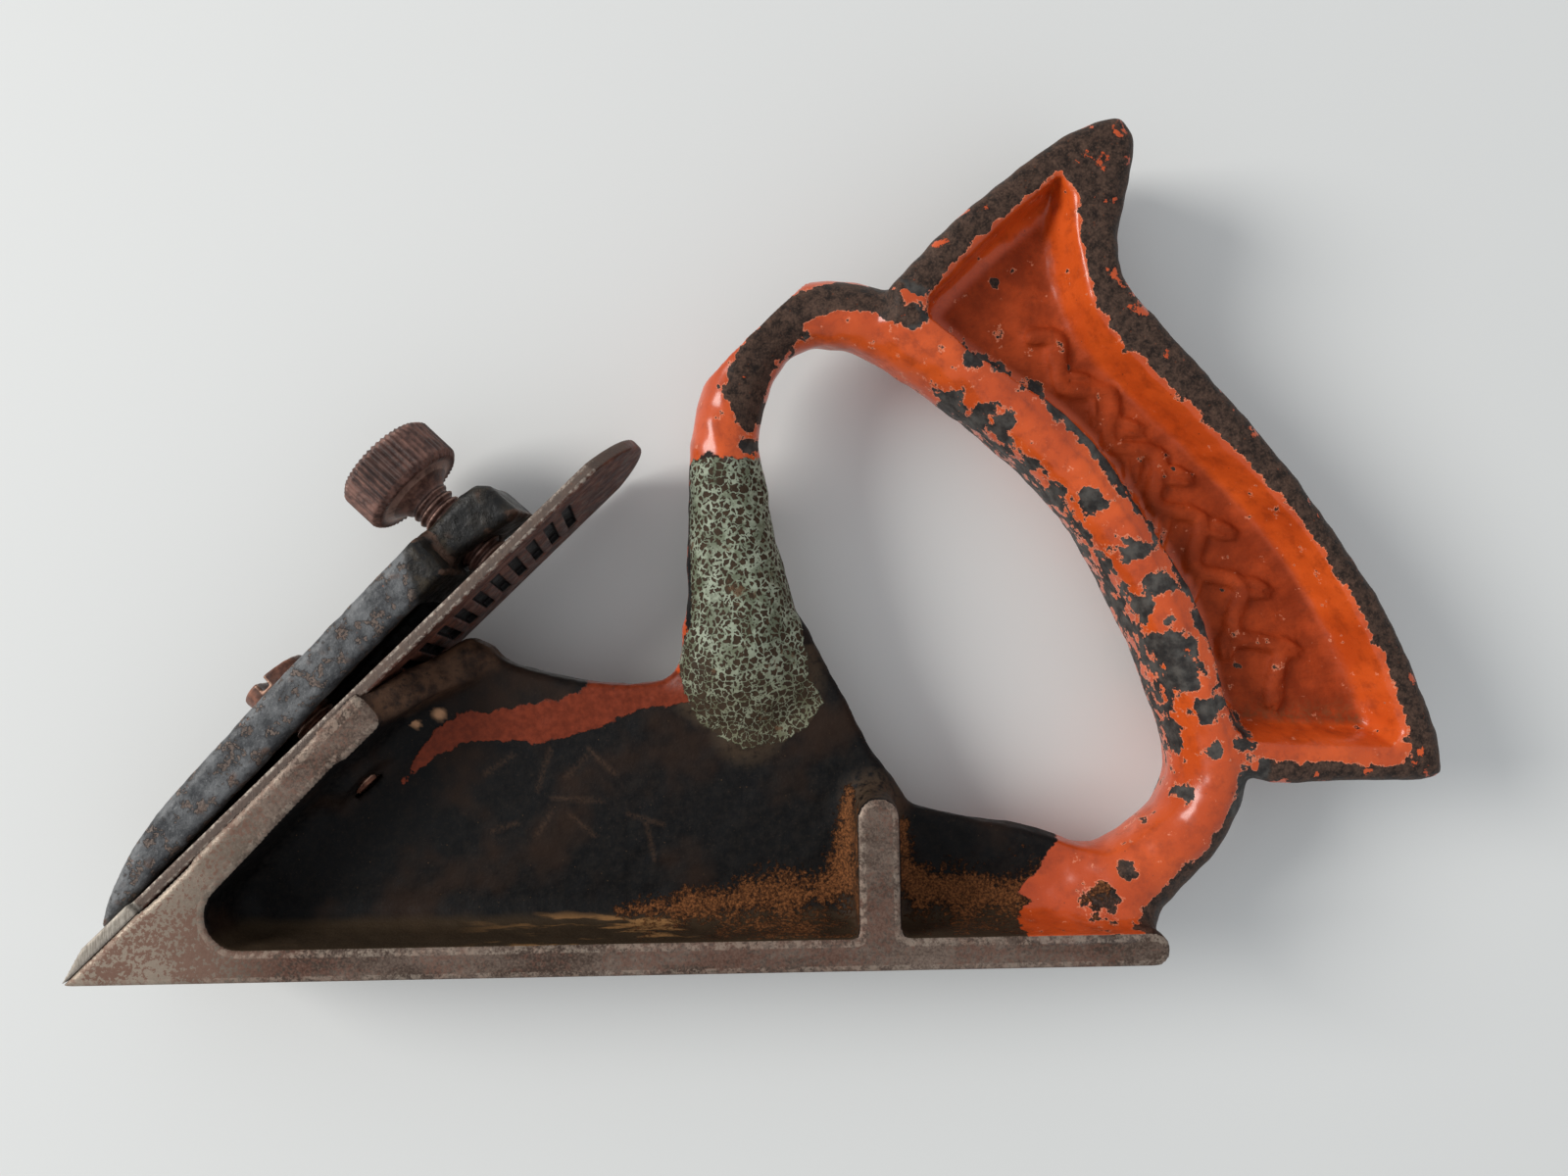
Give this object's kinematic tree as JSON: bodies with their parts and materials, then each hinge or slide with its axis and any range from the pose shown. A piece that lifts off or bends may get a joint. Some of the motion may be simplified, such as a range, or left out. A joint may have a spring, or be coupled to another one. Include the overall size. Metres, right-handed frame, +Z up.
{
  "type": "hand plane",
  "caption": "Edge plane with its cutting iron at the very nose, an iron body with an open cast handle, a lever cap and a knurled thumbscrew.",
  "frame": {"origin": "centre of the sole's face", "axes": "+X from the cutting edge to the heel, +Y across the body, +Z up from the sole to the handle"},
  "size_m": [0.2262, 0.0318, 0.1393],
  "materials": {
    "painted_casting": "orange paint worn to dark iron on the handle, black enamel on the web, bare ground iron on the sides",
    "tool_steel": "ground steel, stained brown above the cutting end",
    "blued_casting": "blue-grey enamel, flaked, with brown rust specks",
    "rusty_screw": "rusted steel",
    "knob_steel": "brown patina with rubbed knurls"
  },
  "bodies": {
    "body": {"body_casting": "painted_casting"},
    "iron": {"plane_iron": "tool_steel"},
    "cap": {"lever_cap": "blued_casting"},
    "cap_screw": {"lever_cap_screw": "rusty_screw"},
    "thumb": {"thumbscrew": "knob_steel"}
  },
  "joints": [
    {"name": "iron_slide", "type": "slide", "parent": "body", "child": "iron", "axis": [0.7314, 0, 0.682], "range_m": [-0.0005, 0.01]},
    {"name": "cap_slide", "type": "slide", "parent": "body", "child": "cap", "axis": [0.7314, 0, 0.682], "range_m": [0, 0.009]},
    {"name": "cap_screw_turn", "type": "hinge", "parent": "body", "child": "cap_screw", "pos_m": [-0.05032, 0, 0.03635], "axis": [-0.682, 0, 0.7314], "range_deg": [0, 360]},
    {"name": "thumbscrew_turn", "type": "hinge", "parent": "cap", "child": "thumb", "pos_m": [-0.02129, 0, 0.06622], "axis": [-0.7193, 0, 0.6947], "range_deg": [0, 720]}
  ]
}
